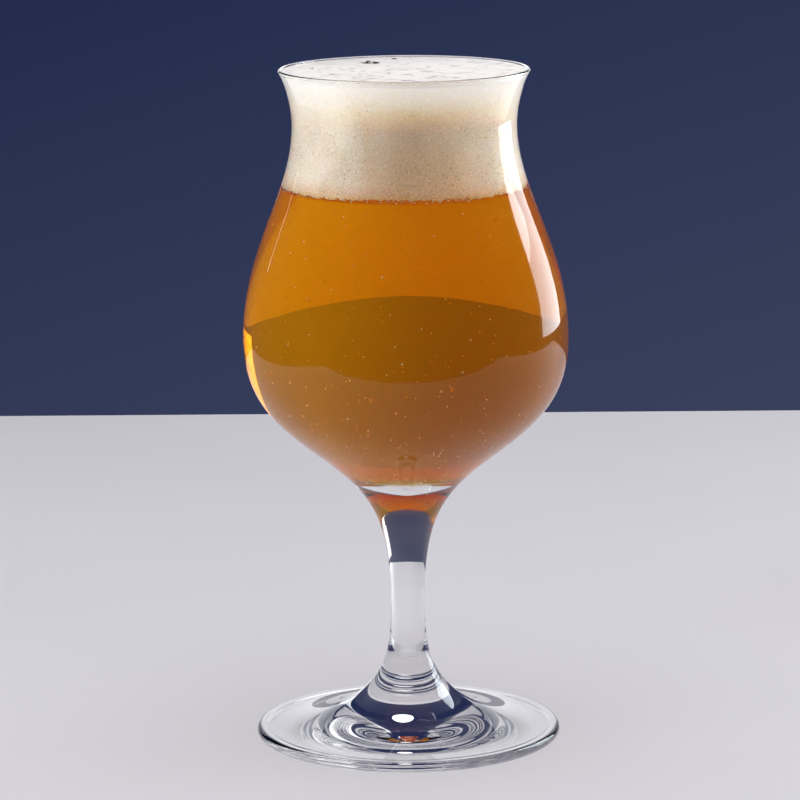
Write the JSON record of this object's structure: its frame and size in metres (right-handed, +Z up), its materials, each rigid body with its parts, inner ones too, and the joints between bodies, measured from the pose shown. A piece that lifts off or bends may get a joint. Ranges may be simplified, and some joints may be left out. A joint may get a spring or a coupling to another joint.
{
  "type": "stemmed beer glass",
  "caption": "Clear stemmed tulip-shaped beer glass with a flared rim, full belly, drawn stem and round foot, poured with amber beer under a thick head of foam.",
  "frame": {"origin": "centre of the ring that the foot stands on, on the axis of the glass", "axes": "+Z up along the axis of the glass; the glass is round, so X and Y are free and -Y is taken as the side seen in the picture"},
  "size_m": [0.0914, 0.0914, 0.19],
  "materials": {
    "clear_glass": "fire-polished clear soda-lime glass",
    "amber_beer": "clear to slightly hazy amber liquid",
    "beer_foam": "dense creamy foam with fine bubbles"
  },
  "bodies": {
    "root": {"foot": "clear_glass", "stem": "clear_glass", "bowl": "clear_glass", "beer": "amber_beer", "foam_head": "beer_foam"}
  },
  "joints": []
}
